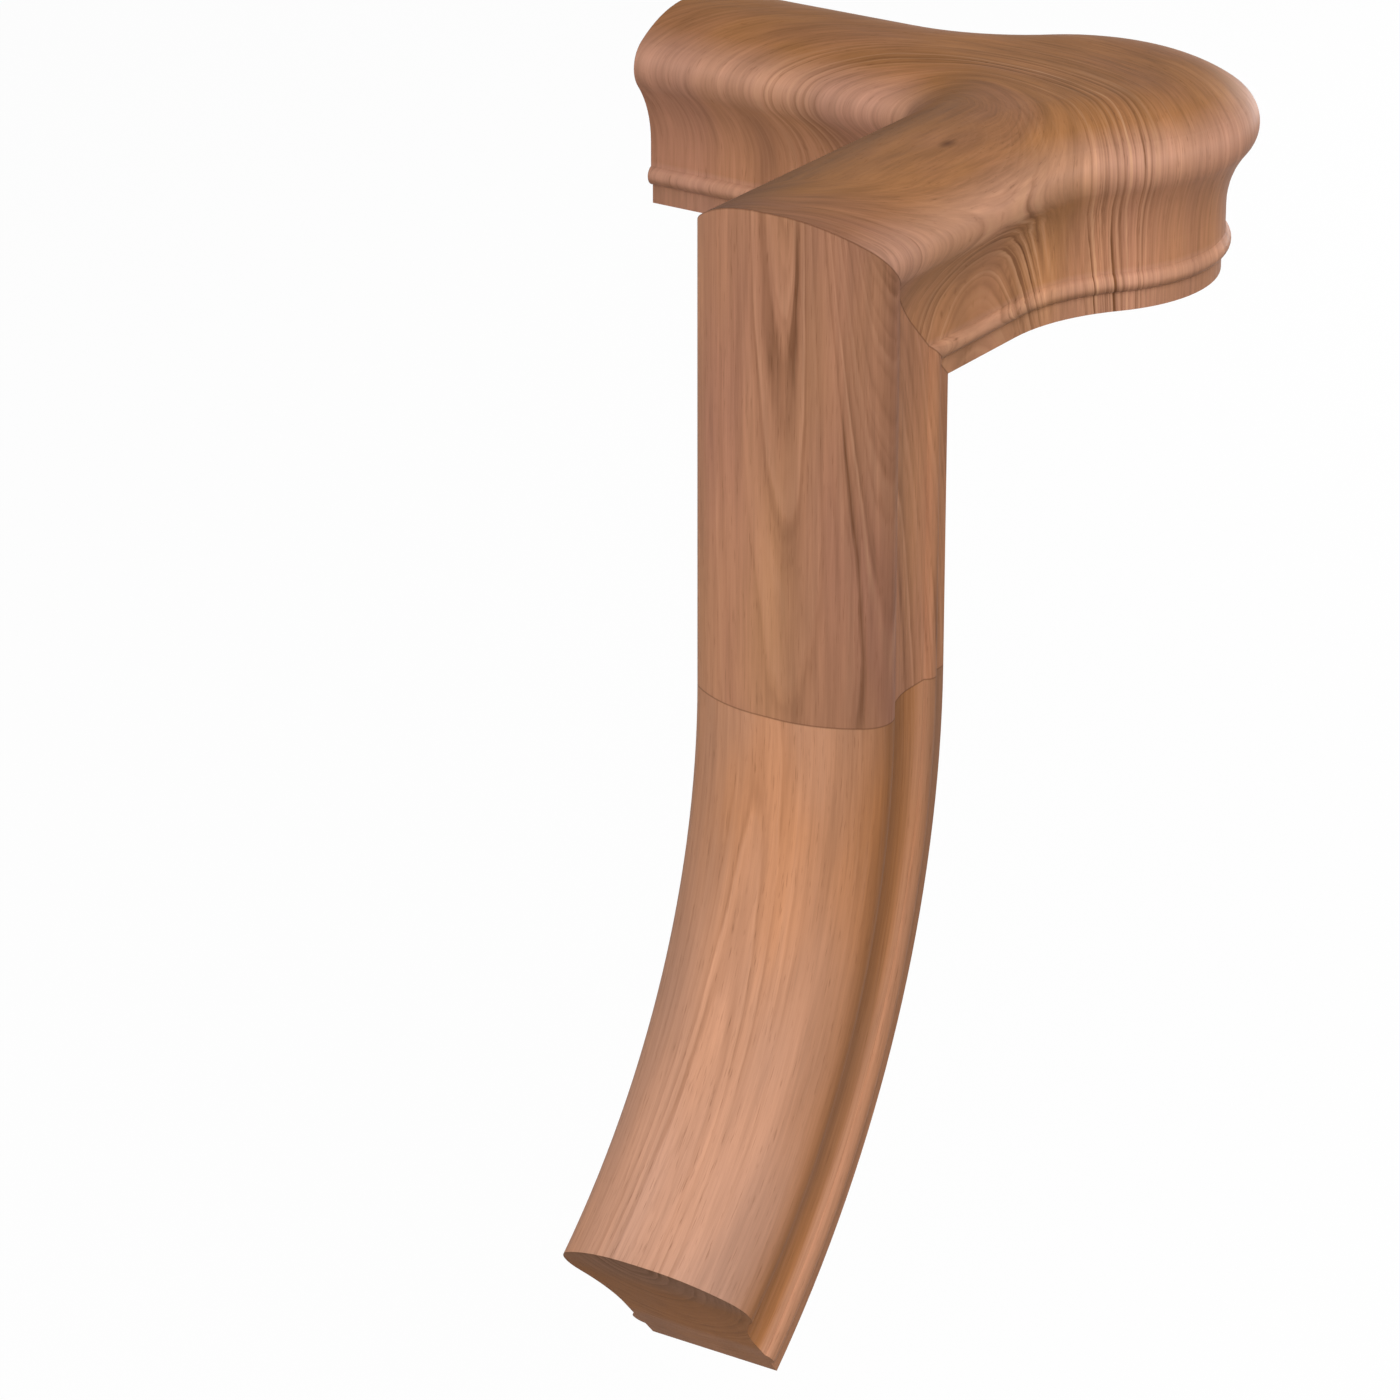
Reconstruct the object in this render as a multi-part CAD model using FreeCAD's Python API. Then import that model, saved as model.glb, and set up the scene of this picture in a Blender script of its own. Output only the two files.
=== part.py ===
import FreeCAD, Part
import math
import os
from collections import namedtuple

from FreeCAD import Vector

# Wooden handrail gooseneck: a level quarter turn with a round cap, a vertical drop mitred to it,
# and a curved up-easing that meets the raking rail. Millimetres, +Z up.
# The origin is the middle of the cap's underside, where the newel post's pin goes in.
# +X is the way the stair climbs, and the level rail carries on along +Y.

# Handrail section: a flat base, a bead, a cove, a round shoulder and a crowned top
rail_width = 66.7
rail_height = 63.5
base_width = 45.6
bead_radius = 3.4
bead_height = 9.6
bead_projection = 2.9
neck_step = 1.0
cove_start = 21.0
shoulder_radius = 9.8
shoulder_drop = 16.1
ridge_width = 7.0

# Level quarter turn, measured from the cap's middle
cap_radius = 58.5
cap_to_drop = 108.0
cap_to_rail = 141.0
outer_blend_radius = 49.0
inner_corner_radius = 14.0

# Vertical drop below the level piece's base, and the up-easing on the crown's side
drop_length = 94.0
easing_radius = 205.0
easing_angle = 48.6

# Blind hole in the cap for the pin on top of the newel post
pin_hole_diameter = 19.2
pin_hole_depth = 25.0

# Glued dowels, a pair across each joint
dowel_diameter = 9.5
dowel_length = 50.0
dowel_chamfer = 1.0
dowel_spacing = 22.0
dowel_height = 28.0
dowel_clearance = 0.1
dowel_end_gap = 0.8

# Extra length of a blank, sawn off at the mitre
trim_allowance = 10.0

half_width = rail_width / 2
base_half = base_width / 2
neck_half = base_half + neck_step
ridge_half = ridge_width / 2
band_depth = half_width - ridge_half
up = Vector(0, 0, 1)

# A plan outline is made of straight runs and tangent turns. The inward side is the wood's side:
# a direction for a run, and +1 (away from the centre) or -1 (towards it) for a turn.
Run = namedtuple("Run", "start end inward")
Turn = namedtuple("Turn", "centre radius start_angle sweep inward")


def polar(centre, radius, angle):
    return centre[0] + radius * math.cos(angle), centre[1] + radius * math.sin(angle)


def arc_points(centre, radius, first, last):
    middle = (first + last) / 2
    return [polar(centre, radius, angle) for angle in (first, middle, last)]


def edge(points):
    if len(points) == 2:
        return Part.makeLine(*points)
    return Part.Arc(*points).toShape()


def face(edges):
    return Part.Face(Part.Wire(Part.__sortEdges__(edges)))


def moulded_side():
    """One side of the section as (across, height) lines and arcs, from the base up to the ridge."""
    bead = (base_half + bead_projection - bead_radius, bead_height)
    bead_low = -math.acos((base_half - bead[0]) / bead_radius)
    bead_high = math.acos((neck_half - bead[0]) / bead_radius)

    shoulder = (half_width - shoulder_radius, rail_height - shoulder_drop)
    cove_rise = shoulder[1] - cove_start
    cove_reach = neck_half - shoulder[0]
    cove_radius = (cove_reach**2 + cove_rise**2 - shoulder_radius**2) / (2 * (half_width - neck_half))
    cove = (neck_half + cove_radius, cove_start)
    cove_end = math.atan2(cove_rise, shoulder[0] - cove[0])

    crown_reach = shoulder[0] - ridge_half
    crown_radius = crown_reach**2 + shoulder_drop**2 - shoulder_radius**2
    crown_radius /= 2 * (shoulder_drop - shoulder_radius)
    crown = (ridge_half, rail_height - crown_radius)
    crown_start = math.atan2(shoulder[1] - crown[1], crown_reach)

    return [
        [(base_half, 0), polar(bead, bead_radius, bead_low)],
        arc_points(bead, bead_radius, bead_low, bead_high),
        [polar(bead, bead_radius, bead_high), (neck_half, cove_start)],
        arc_points(cove, cove_radius, math.pi, cove_end),
        arc_points(shoulder, shoulder_radius, cove_end - math.pi, crown_start),
        arc_points(crown, crown_radius, crown_start, math.pi / 2),
    ]


def side_edges(place):
    return [edge([place(*point) for point in points]) for points in moulded_side()]


def splice_section():
    """The whole handrail section where the drop meets the easing, its base towards the newel."""

    def left(across, height):
        return Vector(-cap_to_drop - height, across, -drop_length)

    def right(across, height):
        return left(-across, height)

    edges = side_edges(left) + side_edges(right)
    edges.append(edge([left(ridge_half, rail_height), right(ridge_half, rail_height)]))
    edges.append(edge([left(base_half, 0), right(base_half, 0)]))
    return face(edges)


def band_section(corner, inward):
    """Half the section, from the outline's widest line in to the ridge."""

    def place(across, height):
        return corner + inward * (half_width - across) + up * height

    edges = side_edges(place)
    edges.append(edge([place(ridge_half, rail_height), place(ridge_half, 0)]))
    edges.append(edge([place(ridge_half, 0), place(base_half, 0)]))
    return face(edges)


def radial(angle):
    return Vector(math.cos(math.radians(angle)), math.sin(math.radians(angle)), 0)


def moulded_band(segment):
    """The moulding run along one segment of the plan outline, as a shaper cuts it."""
    if isinstance(segment, Run):
        return band_section(segment.start, segment.inward).extrude(segment.end - segment.start)
    outwards = radial(segment.start_angle)
    corner = segment.centre + outwards * segment.radius
    section = band_section(corner, outwards * segment.inward)
    return section.revolve(segment.centre, up, segment.sweep)


def plan_edge(segment, inset):
    if isinstance(segment, Run):
        shift = segment.inward * inset
        return edge([segment.start + shift, segment.end + shift])
    radius = segment.radius + segment.inward * inset
    angles = [segment.start_angle + segment.sweep * share for share in (0, 0.5, 1)]
    return edge([segment.centre + radial(angle) * radius for angle in angles])


def outer_outline():
    """From the mitre, along the outside of the lower arm, round the cap and out to the level rail."""
    blend_offset = half_width + outer_blend_radius
    blend_reach = math.sqrt((cap_radius + outer_blend_radius) ** 2 - blend_offset**2)
    lean = math.degrees(math.atan2(blend_offset, blend_reach))
    blend_turn = lean - 90
    blank_start = Vector(-cap_to_drop - rail_height - trim_allowance, -half_width, 0)
    rail_end = Vector(half_width, cap_to_rail, 0)
    return [
        Run(blank_start, Vector(-blend_reach, -half_width, 0), Vector(0, 1, 0)),
        Turn(Vector(-blend_reach, -blend_offset, 0), outer_blend_radius, 90, blend_turn, 1),
        Turn(Vector(0, 0, 0), cap_radius, 180 + lean, 270 - 2 * lean, -1),
        Turn(Vector(blend_offset, blend_reach, 0), outer_blend_radius, 270 - lean, blend_turn, 1),
        Run(Vector(half_width, blend_reach, 0), rail_end, Vector(-1, 0, 0)),
    ]


def inner_outline():
    """From the mitre, along the inside of the lower arm, round the corner and out to the level rail."""
    corner_offset = half_width + inner_corner_radius
    blank_start = Vector(-cap_to_drop - rail_height - trim_allowance, half_width, 0)
    rail_end = Vector(-half_width, cap_to_rail, 0)
    return [
        Run(blank_start, Vector(-corner_offset, half_width, 0), Vector(0, -1, 0)),
        Turn(Vector(-corner_offset, corner_offset, 0), inner_corner_radius, -90, 90, 1),
        Run(Vector(-half_width, corner_offset, 0), rail_end, Vector(1, 0, 0)),
    ]


def level_core():
    """What lies between the ridges: flat-topped, as high as the rail."""
    outer = [plan_edge(segment, band_depth) for segment in outer_outline()]
    inner = [plan_edge(segment, band_depth) for segment in inner_outline()]
    blank_end = edge([outer[0].firstVertex().Point, inner[0].firstVertex().Point])
    rail_end = edge([outer[-1].lastVertex().Point, inner[-1].lastVertex().Point])
    return face(outer + inner + [blank_end, rail_end]).extrude(up * rail_height)


def mitre_waste(beyond_drop):
    """The wedge on one side of the mitre plane: past the drop's end, or below the level piece's end."""
    spare = 2 * trim_allowance
    low = Vector(-cap_to_drop + spare, -rail_width, -spare)
    high = Vector(-cap_to_drop - rail_height - spare, -rail_width, rail_height + spare)
    if beyond_drop:
        third = Vector(low.x, low.y, high.z)
    else:
        third = Vector(high.x, low.y, low.z)
    triangle = Part.Face(Part.makePolygon([low, high, third, low]))
    return triangle.extrude(Vector(0, 2 * rail_width, 0))


def dowel_points(joint_height):
    across = dowel_spacing / 2
    return [Vector(-cap_to_drop - dowel_height, side * across, joint_height) for side in (-1, 1)]


def dowel_holes(points, axis):
    radius = dowel_diameter / 2 + dowel_clearance
    reach = dowel_length / 2 + dowel_end_gap
    return [Part.makeCylinder(radius, 2 * reach, point - axis * reach, axis) for point in points]


def dowel_pair(points, axis):
    pair = []
    for point in points:
        rod = Part.makeCylinder(dowel_diameter / 2, dowel_length, point - axis * (dowel_length / 2), axis)
        rims = [rim for rim in rod.Edges if rim.isClosed()]
        pair.append(rod.makeChamfer(dowel_chamfer, rims))
    return pair


# The mitre's dowels stand square to its 45 degree plane, and the splice's are upright
mitre_axis = Vector(1, 0, 1).normalize()
mitre_points = dowel_points(dowel_height)
mitre_holes = dowel_holes(mitre_points, mitre_axis)
splice_points = dowel_points(-drop_length)
splice_holes = dowel_holes(splice_points, up)


def quarter_turn_cap():
    bands = [moulded_band(segment) for segment in outer_outline() + inner_outline()]
    block = level_core().fuse(bands).removeSplitter()
    pin_hole = Part.makeCylinder(pin_hole_diameter / 2, pin_hole_depth)
    return block.cut([mitre_waste(False), pin_hole] + mitre_holes)


def drop():
    blank = splice_section().extrude(up * (drop_length + rail_height + trim_allowance))
    return blank.cut([mitre_waste(True)] + mitre_holes + splice_holes)


def up_easing():
    bend_centre = Vector(-cap_to_drop - rail_height - easing_radius, 0, -drop_length)
    bend = splice_section().revolve(bend_centre, Vector(0, 1, 0), easing_angle)
    return bend.cut(splice_holes)


pieces = {
    "quarter_turn_cap": quarter_turn_cap(),
    "drop": drop(),
    "up_easing": up_easing(),
    "dowels": Part.makeCompound(dowel_pair(mitre_points, mitre_axis) + dowel_pair(splice_points, up)),
}

os.makedirs("parts", exist_ok=True)
for name, shape in pieces.items():
    shape.exportStep(f"parts/{name}.step")
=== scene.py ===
import math

import bmesh
import bpy
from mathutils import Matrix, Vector

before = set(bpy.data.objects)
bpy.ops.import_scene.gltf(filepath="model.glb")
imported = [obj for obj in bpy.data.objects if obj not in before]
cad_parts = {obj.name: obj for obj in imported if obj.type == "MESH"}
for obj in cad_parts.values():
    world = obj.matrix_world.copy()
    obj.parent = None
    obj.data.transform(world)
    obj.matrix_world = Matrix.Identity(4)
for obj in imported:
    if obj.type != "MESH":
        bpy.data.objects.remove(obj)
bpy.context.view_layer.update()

# The level quarter turn: lower arm, round newel cap and upper arm, cut from one block of red oak.
# The moulding is run round both sides on a shaper, and the whole is sanded and given a satin clear coat.
# Its growth rings stand upright in the block, so they cross the top and run straight down the sides.


def swatch(red, green, blue):
    """A wood colour, given in 0 to 255 steps as on a colour card, as the linear colour a shader takes."""
    shares = [value / 255 for value in (red, green, blue)]
    return [((share + 0.055) / 1.055) ** 2.4 for share in shares] + [1.0]


class Timber:
    """One clear-finished wood, worked out from Object coordinates in millimetres."""

    # Patterns in the fibres, as repeats to the millimetre across and along the grain
    clouds = (0.03, 0.008)
    bands = (0.14, 0.012)
    streaks = (0.8, 0.03)
    fibres = (4.0, 0.06)
    pores = (1.9, 0.13)
    ring_bends = (0.04, 0.011)
    ring_waves = (0.2, 0.03)
    ring_fray = (1.1, 0.06)
    ring_patches = (0.1, 0.015)

    # One year's ring across its width, where 0.5 is the plain ground, 1 the dark porous line it starts with
    # and 0 the dense pale wood it ends in
    ring_profile = ((0.0, 0.5), (0.1, 0.95), (0.17, 1.0), (0.34, 0.72), (0.55, 0.5), (0.82, 0.2), (0.93, 0.24),
                    (1.0, 0.5))
    # Finer rings between the main ones, as shares of their spacing and weight
    fine_spacing = 0.37
    fine_weight = 0.45
    # A poor year's line, and what the best year adds to it
    poor_year = 0.4
    good_year = 2.6
    # How far waves and fray push a ring, in millimetres, and how its width varies, in rings
    wave_size = 0.7
    fray_size = 0.5
    swell_size = 1.2
    swell_rate = 0.45
    patchiness = ((0.0, 0.4), (0.3, 1.0))

    # What each pattern does to the colour
    line_strength = 0.95
    cloud_warmth = 1.1
    streak_tone = 0.24
    fibre_tone = 0.12
    band_tone = 0.26
    cloud_tone = 0.16
    pore_cut = ((0.26, 0.0), (0.5, 1.0))
    pore_on_plain = 0.42
    pore_on_line = 0.8
    pore_strength = 0.65
    glue_line = ((0.0, 1.0), (0.12, 1.0), (0.35, 0.0))
    glue_strength = 0.5
    end_line_strength = 0.45
    pore_brown = swatch(92, 58, 38)
    end_grain_brown = swatch(80, 55, 38)
    glue_brown = swatch(78, 48, 32)
    # The pale rose that painted highlights blend towards
    highlight_rose = swatch(186, 147, 130)

    # The coat: its roughness, what open pores and end grain add to it, and the relief left under it
    roughness = 0.42
    streak_roughness = 0.06
    open_roughness = 0.25
    gloss = 0.012
    line_relief = -0.25
    streak_relief = 0.12
    relief_strength = 0.35
    relief_depth = 0.0001

    def __init__(self, name):
        self.material = bpy.data.materials.new(name)
        self.material.use_nodes = True
        self.tree = self.material.node_tree
        self.shader = self.tree.nodes["Principled BSDF"]
        place = self.tree.nodes.new("ShaderNodeTexCoord").outputs["Object"]
        metres = self.tree.nodes.new("ShaderNodeSeparateXYZ")
        self.tree.links.new(place, metres.inputs[0])
        self.x, self.y, self.z = [self.calc("MULTIPLY", metre, 1000) for metre in metres.outputs]

    def feed(self, socket, value):
        if isinstance(value, bpy.types.NodeSocket):
            self.tree.links.new(value, socket)
        else:
            socket.default_value = value

    def calc(self, operation, *values, clamp=False):
        node = self.tree.nodes.new("ShaderNodeMath")
        node.operation = operation
        node.use_clamp = clamp
        for socket, value in zip(node.inputs, values):
            self.feed(socket, value)
        return node.outputs[0]

    def total(self, *terms):
        """The sum of (value, weight) pairs."""
        result = 0.0
        for value, weight in terms:
            result = self.calc("MULTIPLY_ADD", value, weight, result)
        return result

    def product(self, first, *others):
        for other in others:
            first = self.calc("MULTIPLY", first, other)
        return first

    def fade(self, first, second, share):
        """One value that gives way to another."""
        return self.calc("MULTIPLY_ADD", self.calc("SUBTRACT", second, first), share, first)

    def share(self, value, start, end):
        """How far a value has come from one end of a range to the other, as 0 to 1."""
        return self.calc("DIVIDE", self.calc("SUBTRACT", value, start), end - start)

    def length(self, *sides):
        """How far off a place is whose distances along each side are given."""
        return self.calc("POWER", self.total(*[(self.product(side, side), 1.0) for side in sides]), 0.5)

    def noise(self, place, detail=2.0):
        """Cloudy noise from -1 to 1 at a place of three values, or four."""
        node = self.tree.nodes.new("ShaderNodeTexNoise")
        node.noise_dimensions = "4D" if len(place) == 4 else "3D"
        spot = self.tree.nodes.new("ShaderNodeCombineXYZ")
        for socket, value in zip(spot.inputs, place):
            self.feed(socket, value)
        self.feed(node.inputs["Vector"], spot.outputs[0])
        if len(place) == 4:
            self.feed(node.inputs["W"], place[3])
        node.inputs["Scale"].default_value = 1.0
        node.inputs["Detail"].default_value = detail
        return self.calc("MULTIPLY_ADD", node.outputs["Fac"], 2, -1)

    def curve(self, value, stops):
        """A value read off a line drawn through (position, height) stops."""
        node = self.tree.nodes.new("ShaderNodeValToRGB")
        elements = node.color_ramp.elements
        while len(elements) < len(stops):
            elements.new(0.5)
        for element, (position, height) in zip(elements, stops):
            element.position = position
            element.color = (height, height, height, 1)
        self.feed(node.inputs["Fac"], value)
        return node.outputs["Color"]

    def blend(self, under, over, share, way="MIX"):
        node = self.tree.nodes.new("ShaderNodeMix")
        node.data_type = "RGBA"
        node.blend_type = way
        self.feed(node.inputs["Factor"], share)
        self.feed(node.inputs["A"], under)
        self.feed(node.inputs["B"], over)
        return node.outputs["Result"]

    def grey(self, value):
        node = self.tree.nodes.new("ShaderNodeCombineColor")
        for socket in node.inputs:
            self.feed(socket, value)
        return node.outputs[0]

    def growth(self, radius, grain, spacing, boldness, bend, first_year):
        """Growth rings of unlike widths and weights: 1 on a dark porous line and -1 in dense pale wood."""
        swelling = self.noise([self.calc("MULTIPLY", radius, self.swell_rate / spacing), 0.0, 0.0])
        waver = self.total((self.noise(grain(*self.ring_bends)), bend),
                           (self.noise(grain(*self.ring_waves)), self.wave_size),
                           (self.noise(grain(*self.ring_fray), 3), self.fray_size),
                           (swelling, self.swell_size * spacing))
        bent = self.calc("ADD", radius, waver)
        figure = 0.0
        for pitch, weight in ((spacing, 1.0), (spacing * self.fine_spacing, self.fine_weight)):
            years = self.calc("DIVIDE", bent, pitch)
            luck = self.tree.nodes.new("ShaderNodeTexWhiteNoise")
            luck.noise_dimensions = "1D"
            self.feed(luck.inputs["W"], self.calc("ADD", self.calc("FLOOR", years), first_year))
            strength = self.calc("MULTIPLY_ADD", self.calc("POWER", luck.outputs["Value"], 2.0),
                                 self.good_year * weight, self.poor_year * weight)
            ring = self.calc("SUBTRACT", self.curve(self.calc("FRACT", years), self.ring_profile), 0.5)
            figure = self.calc("MULTIPLY_ADD", ring, strength, figure)
        patchy = self.curve(self.noise(grain(*self.ring_patches)), self.patchiness)
        return self.product(figure, patchy, boldness)

    def seam(self, distance):
        """A thin dark glue line where a distance is nothing."""
        return self.curve(self.calc("ABSOLUTE", distance), self.glue_line)

    def lay_up(self, figure, grain, rosy, golden, pale, dark, warmth, tone_and_painted_light=1.0, painted_highlight=0.0, mottle=1.0, marks=0.0,
               seams=0.0, end_grain=0.0):
        """Colour, pores and coat, from the rings' figure and a grain(across, along) place along the fibres, with any
        painted highlight and painted shade laid into the colour.
        """
        cloud = self.noise(grain(*self.clouds))
        bands = self.noise(grain(*self.bands))
        warm = self.calc("MULTIPLY_ADD", cloud, self.cloud_warmth, warmth, clamp=True)
        # A painted highlight blends the ground towards a pale rose
        ground = self.blend(self.blend(rosy, golden, warm), self.highlight_rose, painted_highlight)
        lined = self.blend(ground, dark, self.calc("MULTIPLY", figure, self.line_strength, clamp=True))
        lighted = self.blend(lined, pale, self.calc("MULTIPLY", figure, -1.0, clamp=True))

        streaks = self.noise(grain(*self.streaks), 3)
        fibres = self.noise(grain(*self.fibres))
        tone = self.total((streaks, self.streak_tone * mottle), (fibres, self.fibre_tone),
                          (bands, self.band_tone * mottle), (cloud, self.cloud_tone), (1.0, 1.0))
        # Tone, and the light and shade painted into the colour, darken or lighten the wood here
        streaked = self.blend(lighted, self.grey(self.calc("MULTIPLY", tone, tone_and_painted_light)), 1.0, "MULTIPLY")

        dashes = self.curve(self.noise(grain(*self.pores), 1), self.pore_cut)
        density = self.calc("MULTIPLY_ADD", figure, self.pore_on_line, self.pore_on_plain, clamp=True)
        pores = self.calc("MULTIPLY", dashes, density)
        pored = self.blend(streaked, self.pore_brown, self.calc("MULTIPLY", pores, self.pore_strength))

        end_lines = self.calc("MULTIPLY_ADD", figure, self.end_line_strength, 1.0)
        ended = self.blend(pored, self.end_grain_brown, self.calc("MULTIPLY", end_grain, end_lines, clamp=True))
        stains = self.calc("MAXIMUM", self.calc("MULTIPLY", seams, self.glue_strength), marks)
        self.feed(self.shader.inputs["Base Color"], self.blend(ended, self.glue_brown, stains))

        roughness = self.total((pores, self.open_roughness), (streaks, self.streak_roughness),
                               (end_grain, self.open_roughness), (self.roughness, 1.0))
        self.feed(self.shader.inputs["Roughness"], roughness)
        relief = self.total((pores, -1.0), (figure, self.line_relief), (streaks, self.streak_relief), (seams, -1.0))
        bump = self.tree.nodes.new("ShaderNodeBump")
        bump.inputs["Strength"].default_value = self.relief_strength
        bump.inputs["Distance"].default_value = self.relief_depth
        self.feed(bump.inputs["Height"], relief)
        self.feed(self.shader.inputs["Normal"], bump.outputs["Normal"])
        self.shader.inputs["Specular IOR Level"].default_value = self.gloss


def dress(node, timber):
    """Give one CAD node its wood."""
    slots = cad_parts[node].data.materials
    slots.clear()
    slots.append(timber.material)


rail_width = 66.7
rail_height = 63.5
cap_to_drop = 108.0
cap_to_rail = 141.0
crown_face = -cap_to_drop - rail_height
arm_reach = 100.0


def off_mitre(timber):
    """How far a place is from the mitre, which leans at 45 degrees."""
    lean = math.sqrt(0.5)
    return timber.total((timber.x, lean), (timber.z, lean), (cap_to_drop, lean))


# The tree's heart, outside the block's middle, and how far the rings spread from it
heart_x = -93.0
heart_y = 22.0
heart_width = 8.0
level_reach = 180.0
level_ring = 2.45
level_ring_bend = 3.0
level_first_year = 1851
slant_height = 34.0
fleck_shortening = 2.4
rise_shortening = 0.5

# A sawn end takes the finish evenly, and its end grain is darker. It shows up to 0.15 mm from the cut.
sawn_end = ((0.05, 1.0), (0.15, 0.0))
end_shade = 0.85
level_end_cover = 0.55

# A small pin knot on the lower arm's top
knot_x = -86.0
knot_y = -8.0
knot_size = 2.6
knot_stretch = 0.5

level_oak = Timber("level_oak")
from_heart_x = level_oak.calc("SUBTRACT", level_oak.x, heart_x)
from_heart_y = level_oak.calc("SUBTRACT", level_oak.y, heart_y)
from_heart = level_oak.length(from_heart_x, from_heart_y)
heart_share = level_oak.calc("DIVIDE", from_heart, level_reach)
level_height = level_oak.calc("DIVIDE", level_oak.z, rail_height)
along_arm = level_oak.share(level_oak.x, -arm_reach, 0.0)
along_rail = level_oak.calc("DIVIDE", level_oak.y, cap_to_rail)
past_mitre = level_oak.share(level_oak.x, crown_face, -cap_to_drop)

# The fibres run straight along the lower arm and bend round the heart beyond it
roundness = level_oak.curve(heart_share, ((0.26, 0.0), (0.44, 1.0)))
straight_side = level_oak.length(from_heart_y, heart_width)
curl = level_oak.calc("SUBTRACT", from_heart, straight_side)
fibre_side = level_oak.calc("MULTIPLY_ADD", roundness, curl, straight_side)


def level_grain(across, along):
    """Fibres that run along the lower arm and then round the heart, the same all the way down."""
    return [level_oak.calc("MULTIPLY", fibre_side, across), level_oak.calc("MULTIPLY", level_oak.x, along),
            level_oak.calc("MULTIPLY", level_oak.y, along),
            level_oak.calc("MULTIPLY", level_oak.z, along * rise_shortening)]


def level_fleck(across, along):
    """The same fibres in shorter lengths, for streaks and pores on the block's turned faces."""
    return level_grain(across, along * fleck_shortening)


# The rings lean on the lower arm's side, where they make arches, and are quiet on its top, on its base,
# at the mitre and along the upper arm
slant = level_oak.curve(heart_share, ((0.27, 0.25), (0.55, 0.0)))
level_radius = level_oak.calc("MULTIPLY_ADD", slant, level_oak.calc("MINIMUM", level_oak.z, slant_height), from_heart)
heart_bold = level_oak.curve(heart_share, ((0.0, 0.0), (0.17, 0.1), (0.24, 1.2), (0.305, 1.2), (0.335, 0.25),
                                           (0.385, 0.25), (0.42, 1.0), (0.53, 1.0), (0.6, 0.4), (1.0, 0.35)))
rail_bold = level_oak.curve(along_rail, ((0.08, 1.0), (0.26, 0.33)))
mitre_bold = level_oak.curve(past_mitre, ((0.25, 0.25), (0.75, 1.0)))
top_calm = level_oak.product(level_oak.curve(heart_share, ((0.31, 0.85), (0.43, 0.0))),
                             level_oak.curve(level_height, ((0.72, 0.0), (0.88, 1.0))))
base_calm = level_oak.product(level_oak.curve(heart_share, ((0.27, 0.75), (0.33, 0.0))),
                              level_oak.curve(level_height, ((0.09, 1.0), (0.14, 0.0))))
edge_bold = level_oak.calc("SUBTRACT", 1.0, level_oak.calc("MAXIMUM", top_calm, base_calm))
level_bold = level_oak.product(heart_bold, rail_bold, mitre_bold, edge_bold)
level_figure = level_oak.growth(level_radius, level_grain, level_ring, level_bold, level_ring_bend, level_first_year)

from_knot = level_oak.length(level_oak.calc("MULTIPLY", level_oak.calc("SUBTRACT", level_oak.x, knot_x), knot_stretch),
                             level_oak.calc("SUBTRACT", level_oak.y, knot_y),
                             level_oak.calc("SUBTRACT", level_oak.z, rail_height))
level_knot = level_oak.curve(level_oak.calc("DIVIDE", from_knot, knot_size), ((0.0, 0.8), (0.35, 0.55), (1.0, 0.0)))

# The colour: golden on the top and along the lower arm. Painted highlights lie on the shoulder and the bead,
# painted shade in the cove, in the crease under the bead and across the lower arm's far half.
golden_top = level_oak.curve(level_height, ((0.8, 0.0), (0.95, 0.95)))
golden_arm = level_oak.curve(along_arm, ((0.3, 0.95), (0.45, 0.85), (0.58, 0.3)))
level_warmth = level_oak.product(level_oak.curve(past_mitre, ((0.1, 0.3), (0.65, 1.0))),
                                 level_oak.calc("MAXIMUM", golden_top, golden_arm))
# Painted light and shade by height: darker in the crease under the bead and in the cove, lighter on the bead and the
# shoulder
level_painted_light = level_oak.curve(level_height, ((0.09, 0.87), (0.1, 0.82), (0.112, 0.7), (0.128, 0.76), (0.15, 1.0),
                                             (0.182, 1.14), (0.205, 1.04), (0.225, 1.0), (0.35, 0.91), (0.55, 0.79),
                                             (0.7, 0.84), (0.82, 1.1), (0.88, 1.08), (0.93, 1.05), (0.97, 1.01)))
# Painted highlight: a pale rose sheen on the bead and the shoulder
level_painted_highlight = level_oak.curve(level_height, ((0.09, 0.2), (0.12, 0.12), (0.155, 0.32), (0.19, 0.32), (0.23, 0.06),
                                             (0.62, 0.06), (0.8, 0.42), (0.87, 0.3), (0.94, 0.0)))
rail_shade = level_oak.curve(along_rail, ((0.15, 0.88), (0.3, 0.94), (0.5, 0.87)))
arm_shade = level_oak.curve(along_arm, ((0.3, 0.98), (0.55, 1.0)))
mitre_shade = level_oak.curve(past_mitre, ((0.0, 0.8), (0.35, 0.87), (0.7, 1.0)))
# Painted shade: the lower arm's far half, towards the inside corner, is darkened
inner_edge_painted_shade = level_oak.product(level_oak.curve(along_rail, ((0.0, 0.0), (0.15, 1.0))),
                               level_oak.curve(along_arm, ((0.45, 0.26), (0.68, 0.1), (0.95, 0.0))))
moulded_tone_and_painted_light = level_oak.product(level_painted_light, rail_shade, arm_shade, mitre_shade,
                                  level_oak.calc("SUBTRACT", 1.0, inner_edge_painted_shade))
level_end = level_oak.curve(level_oak.calc("SUBTRACT", cap_to_rail, level_oak.y), sawn_end)
level_tone_and_painted_light = level_oak.fade(moulded_tone_and_painted_light, end_shade, level_end)

level_oak.lay_up(level_figure, level_fleck, rosy=swatch(160, 111, 86), golden=swatch(157, 108, 69),
                 pale=swatch(192, 147, 112), dark=swatch(110, 72, 48), warmth=level_warmth, tone_and_painted_light=level_tone_and_painted_light,
                 painted_highlight=level_painted_highlight, mottle=1.3, marks=level_knot, seams=level_oak.seam(off_mitre(level_oak)),
                 end_grain=level_oak.calc("MULTIPLY", level_end, level_end_cover))
dress("quarter_turn_cap", level_oak)

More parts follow.
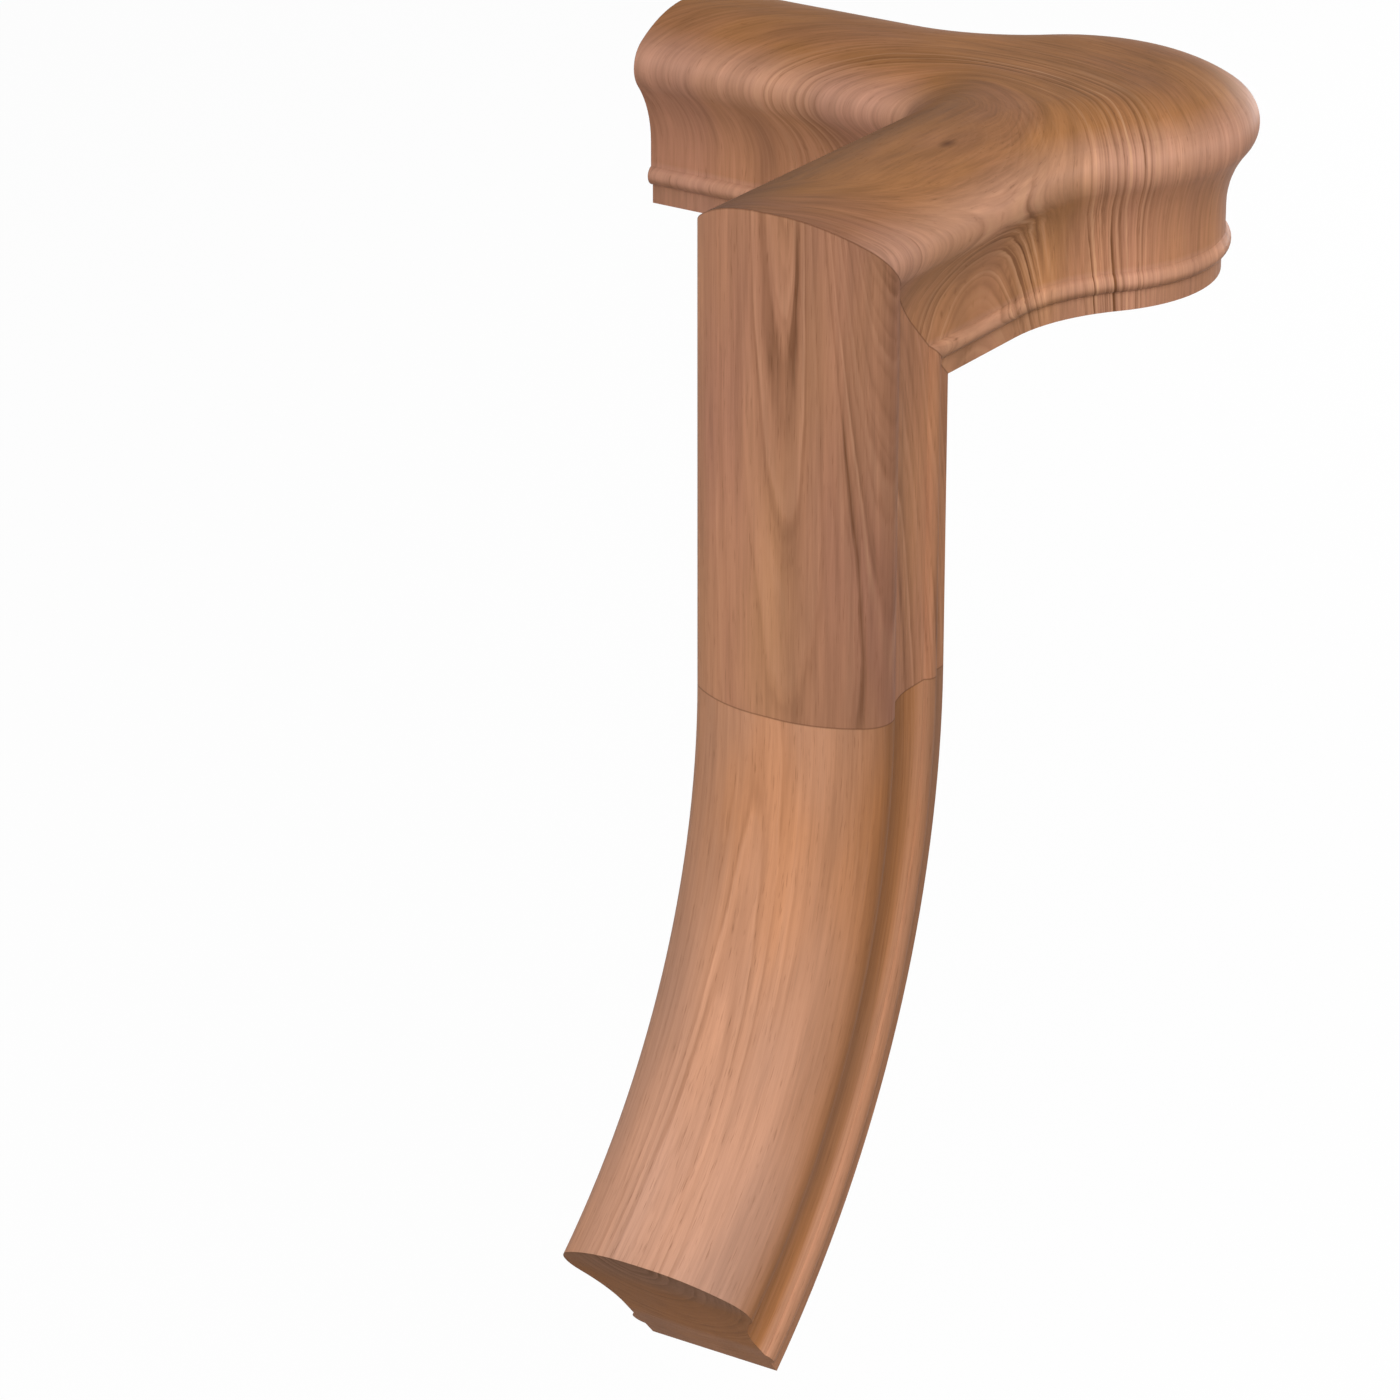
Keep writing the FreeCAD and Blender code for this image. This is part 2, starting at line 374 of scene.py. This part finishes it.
# The drop: a straight length of the same handrail stood upright, its crown towards the stair.
# It is red oak from another board, mitred to the level piece and glued over two dowels.
drop_length = 94.0
drop_ring = 4.7
drop_ring_bend = 1.2
drop_first_year = 1973

# The pith runs a little off the middle, under the crown, and comes nearer the face higher up
drop_pith_side = -6.0
drop_pith_depth = 10.8
drop_pith_rise = 0.08
drop_pith_squash = 0.9

# To the right of the middle the lines fan out towards the top
fan_start = -6.0
fan_end = -30.0
fan_lean = 0.0011

drop_oak = Timber("drop_oak")
drop_across = drop_oak.share(drop_oak.y, rail_width / 2, -rail_width / 2)
drop_height = drop_oak.share(drop_oak.x, -cap_to_drop, crown_face)


def drop_grain(across, along):
    """Straight fibres up the drop."""
    return [drop_oak.calc("MULTIPLY", drop_oak.y, across), drop_oak.calc("MULTIPLY", drop_oak.x, across),
            drop_oak.calc("MULTIPLY", drop_oak.z, along)]


above_splice = drop_oak.calc("ADD", drop_oak.z, drop_length)
fan = drop_oak.curve(drop_oak.share(drop_oak.y, fan_start, fan_end), ((0.0, 0.0), (1.0, 1.0)))
fanned = drop_oak.product(fan, above_splice, above_splice)
off_pith = drop_oak.total((drop_oak.y, 1.0), (fanned, -fan_lean), (drop_pith_side, -1.0))
pith_depth = drop_oak.total((drop_oak.z, -drop_pith_rise), (drop_oak.x, -drop_pith_squash),
                            (crown_face, drop_pith_squash), (drop_pith_depth, 1.0))
drop_bold = drop_oak.curve(drop_across, ((0.0, 0.35), (0.35, 0.35), (0.5, 0.8), (0.75, 0.85), (1.0, 0.8)))
drop_figure = drop_oak.growth(drop_oak.length(off_pith, pith_depth), drop_grain, drop_ring, drop_bold,
                              drop_ring_bend, drop_first_year)

# Painted light and shade by height: the bead, the base and the sides lighter than the crown, with a darker crease
# under the bead
drop_painted_light = drop_oak.curve(drop_height, ((0.085, 1.25), (0.1, 1.15), (0.115, 1.0), (0.14, 1.15), (0.17, 1.3),
                                          (0.2, 1.45), (0.25, 1.45), (0.32, 1.3), (0.62, 1.3), (0.77, 1.0)))
# Painted shade: darker towards the -Y side and its shoulder
drop_painted_side_shade = drop_oak.curve(drop_across, ((0.2, 0.95), (0.6, 0.67), (0.82, 0.58), (1.0, 0.54)))
# Painted highlight: a faint pale sheen on the crown
drop_painted_highlight = drop_oak.curve(drop_height, ((0.7, 0.0), (0.85, 0.08)))
drop_seams = drop_oak.calc("MAXIMUM", drop_oak.seam(off_mitre(drop_oak)), drop_oak.seam(above_splice))

drop_oak.lay_up(drop_figure, drop_grain, rosy=swatch(157, 108, 85), golden=swatch(160, 114, 78),
                pale=swatch(182, 135, 106), dark=swatch(110, 72, 50), warmth=0.4,
                tone_and_painted_light=drop_oak.product(drop_painted_light, drop_painted_side_shade), painted_highlight=drop_painted_highlight, seams=drop_seams)
dress("drop", drop_oak)

# The up-easing: the same handrail bent through an eighth of a turn on the crown's side, sawn from a plank.
# It is butted and glued to the drop over two dowels, and its lower end is left square for the rail.
easing_radius = 205.0
easing_middle_radius = 238.0
easing_turn = math.radians(48.6)
easing_ring = 3.6
easing_ring_bend = 1.2
easing_bold = 0.37
easing_first_year = 2300

# The pith comes nearer the crown towards the lower end
easing_pith_side = 2.5
easing_pith_depth = 11.68
easing_pith_rise = 0.045
easing_pith_squash = 0.85

easing_oak = Timber("easing_oak")
out_x = easing_oak.calc("SUBTRACT", easing_oak.x, crown_face - easing_radius)
out_z = easing_oak.calc("ADD", easing_oak.z, drop_length)
out = easing_oak.length(out_x, out_z)
turned = easing_oak.calc("ARCTAN2", easing_oak.calc("MULTIPLY", out_z, -1.0), out_x)
run = easing_oak.calc("MULTIPLY", turned, easing_middle_radius)
below_crown = easing_oak.calc("SUBTRACT", out, easing_radius)
easing_depth = easing_oak.calc("DIVIDE", below_crown, rail_height)
easing_across = easing_oak.share(easing_oak.y, rail_width / 2, -rail_width / 2)
down_easing = easing_oak.calc("DIVIDE", turned, easing_turn)


def easing_grain(across, along):
    """Fibres that run with the bend."""
    return [easing_oak.calc("MULTIPLY", easing_oak.y, across), easing_oak.calc("MULTIPLY", out, across),
            easing_oak.calc("MULTIPLY", run, along)]


off_line = easing_oak.calc("SUBTRACT", easing_oak.y, easing_pith_side)
under_line = easing_oak.total((run, -easing_pith_rise), (below_crown, easing_pith_squash), (easing_pith_depth, 1.0))
easing_figure = easing_oak.growth(easing_oak.length(off_line, under_line), easing_grain, easing_ring, easing_bold,
                                  easing_ring_bend, easing_first_year)

easing_warmth = easing_oak.curve(easing_depth, ((0.08, 0.3), (0.32, 1.0), (0.66, 0.95), (0.78, 0.8), (0.9, 0.5)))
# Painted light and shade by depth: darker in the cove and under the bead, lighter on the bead
easing_painted_light = easing_oak.curve(easing_depth, ((0.1, 1.0), (0.19, 0.97), (0.27, 0.79), (0.42, 0.62), (0.6, 0.74),
                                               (0.68, 0.93), (0.74, 1.25), (0.775, 1.4), (0.8, 1.25), (0.82, 1.07),
                                               (0.85, 0.97), (0.875, 0.8), (0.89, 0.72), (0.905, 0.72), (0.93, 0.76),
                                               (0.97, 0.76)))
# Painted shade: darker towards the -Y side, with a darker strip near the middle
easing_painted_side_shade = easing_oak.curve(easing_across, ((0.4, 0.94), (0.55, 0.91), (0.62, 0.87), (0.7, 0.87), (0.8, 0.79),
                                                (0.87, 0.68), (1.0, 0.58)))
# Lighter towards the lower end than the upper
down_shade = easing_oak.curve(down_easing, ((0.1, 0.93), (0.8, 1.08)))
# Painted highlight: a pale rose sheen on the lower crown and on the bead
easing_painted_highlight = easing_oak.product(easing_oak.curve(down_easing, ((0.2, 0.1), (0.8, 0.4))),
                                  easing_oak.curve(easing_depth, ((0.15, 1.0), (0.3, 0.0), (0.71, 0.0), (0.765, 0.8),
                                                                  (0.81, 0.8), (0.87, 0.3), (0.97, 0.4))))
from_end = easing_oak.calc("MULTIPLY", easing_oak.calc("SUBTRACT", easing_turn, turned), easing_middle_radius)
easing_end = easing_oak.curve(from_end, sawn_end)
# The lower end's end grain, made darker still as painted shade, most under the crown
easing_end_grain_and_painted_shade = easing_oak.curve(easing_depth, ((0.0, 0.86), (0.45, 0.7), (1.0, 0.6)))
easing_tone_and_painted_light = easing_oak.fade(easing_oak.product(down_shade, easing_painted_light, easing_painted_side_shade), end_shade, easing_end)

easing_oak.lay_up(easing_figure, easing_grain, rosy=swatch(166, 122, 96), golden=swatch(170, 113, 70),
                  pale=swatch(186, 139, 111), dark=swatch(118, 78, 54), warmth=easing_warmth,
                  tone_and_painted_light=easing_tone_and_painted_light, painted_highlight=easing_painted_highlight, mottle=0.75, seams=easing_oak.seam(out_z),
                  end_grain=easing_oak.product(easing_end, easing_end_grain_and_painted_shade))
dress("up_easing", easing_oak)

# The dowels: four turned birch pegs with chamfered ends, two across each joint.
# They are glued into blind holes and can't be seen once the joints are closed.
dowel_ring = 2.8
dowel_ring_bend = 1.0
dowel_bold = 0.25
dowel_birch = Timber("dowel_birch")


def dowel_grain(across, along):
    """Straight pale fibres along the upright pegs."""
    return [dowel_birch.calc("MULTIPLY", dowel_birch.x, across), dowel_birch.calc("MULTIPLY", dowel_birch.y, across),
            dowel_birch.calc("MULTIPLY", dowel_birch.z, along)]


dowel_figure = dowel_birch.growth(dowel_birch.x, dowel_grain, dowel_ring, dowel_bold, dowel_ring_bend, 0)
dowel_birch.lay_up(dowel_figure, dowel_grain, rosy=swatch(206, 176, 140), golden=swatch(208, 178, 134),
                   pale=swatch(224, 200, 164), dark=swatch(172, 134, 92), warmth=0.5, mottle=0.75)
dress("dowels", dowel_birch)

# The studio: a white floor well below the hanging piece and a white surround.
# Four soft lamps stand in front of the piece and one behind it.
floor_height = -0.55
floor_half = 6
floor_mesh = bmesh.new()
bmesh.ops.create_grid(floor_mesh, x_segments=1, y_segments=1, size=floor_half)
bmesh.ops.translate(floor_mesh, verts=floor_mesh.verts, vec=(0, 0, floor_height))
floor_data = bpy.data.meshes.new("floor")
floor_mesh.to_mesh(floor_data)
floor_mesh.free()
floor = bpy.data.objects.new("floor", floor_data)
bpy.context.scene.collection.objects.link(floor)


def seen_straight_on(tree):
    """1 on rays from the camera, a reflection or a clear piece, and 0 on rays that light the object."""
    rays = tree.nodes.new("ShaderNodeLightPath")
    seen = rays.outputs["Is Camera Ray"]
    for kind in ("Is Glossy Ray", "Is Transmission Ray"):
        either = tree.nodes.new("ShaderNodeMath")
        either.operation = "MAXIMUM"
        tree.links.new(seen, either.inputs[0])
        tree.links.new(rays.outputs[kind], either.inputs[1])
        seen = either.outputs[0]
    return seen


paper_glow_share = 0.96
paper = bpy.data.materials.new("white_paper")
paper.use_nodes = True
paper_tree = paper.node_tree
paper_face = paper_tree.nodes["Principled BSDF"]
paper_face.inputs["Base Color"].default_value = (0.86, 0.86, 0.86, 1)
paper_face.inputs["Roughness"].default_value = 0.9
paper_glow = paper_tree.nodes.new("ShaderNodeEmission")
paper_mix = paper_tree.nodes.new("ShaderNodeMixShader")
paper_share = paper_tree.nodes.new("ShaderNodeMath")
paper_share.operation = "MULTIPLY"
paper_share.inputs[1].default_value = paper_glow_share
paper_tree.links.new(seen_straight_on(paper_tree), paper_share.inputs[0])
paper_tree.links.new(paper_share.outputs[0], paper_mix.inputs["Fac"])
paper_tree.links.new(paper_face.outputs[0], paper_mix.inputs[1])
paper_tree.links.new(paper_glow.outputs[0], paper_mix.inputs[2])
paper_tree.links.new(paper_mix.outputs[0], paper_tree.nodes["Material Output"].inputs["Surface"])
floor_data.materials.append(paper)

surround_lighting = 0.1
surround = bpy.data.worlds.new("surround")
surround.use_nodes = True
surround_tree = surround.node_tree
surround_light = surround_tree.nodes["Background"]
surround_light.inputs["Color"].default_value = (1, 1, 1, 1)
surround_level = surround_tree.nodes.new("ShaderNodeMath")
surround_level.operation = "MULTIPLY_ADD"
surround_level.inputs[1].default_value = 1 - surround_lighting
surround_level.inputs[2].default_value = surround_lighting
surround_tree.links.new(seen_straight_on(surround_tree), surround_level.inputs[0])
surround_tree.links.new(surround_level.outputs[0], surround_light.inputs["Strength"])
bpy.context.scene.world = surround

part_middle = Vector((-0.10, 0.02, -0.10))
lamp_distance = 2.4
lamp_size = 1.2


def direction(heading, rise):
    """The way that points so many degrees round from +X and so many up."""
    around, up = math.radians(heading), math.radians(rise)
    return Vector((math.cos(around) * math.cos(up), math.sin(around) * math.cos(up), math.sin(up)))


def lamp(name, heading, rise, power):
    """A square soft lamp that faces the middle of the part, from so many degrees round and up."""
    data = bpy.data.lights.new(name, "AREA")
    data.size = lamp_size
    data.energy = power
    obj = bpy.data.objects.new(name, data)
    way = direction(heading, rise)
    obj.location = part_middle + way * lamp_distance
    obj.rotation_euler = (-way).to_track_quat("-Z", "Y").to_euler()
    bpy.context.scene.collection.objects.link(obj)


lamp("key_lamp", 214, 30, 40)
lamp("left_lamp", 168, 6, 22)
lamp("top_lamp", 243, 46, 31)
lamp("right_lamp", 284, 18, 10)
lamp("back_lamp", 0, 8, 30)

# The camera stands where the picture was taken from: in front of the drop's crown and to its right,
# looking down, with a long lens.
picture_width = 1400
focal_pixels = 6381.6
camera_place = (-1.63865, -0.95469, 0.64544)
camera_heading = 33.6963
camera_rise = -22.7505
camera_data = bpy.data.cameras.new("camera")
camera_data.sensor_width = 36.0
camera_data.lens = camera_data.sensor_width * focal_pixels / picture_width
camera = bpy.data.objects.new("camera", camera_data)
camera.location = camera_place
camera.rotation_euler = direction(camera_heading, camera_rise).to_track_quat("-Z", "Y").to_euler()
bpy.context.scene.collection.objects.link(camera)
bpy.context.scene.camera = camera
bpy.context.scene.view_settings.view_transform = "Standard"
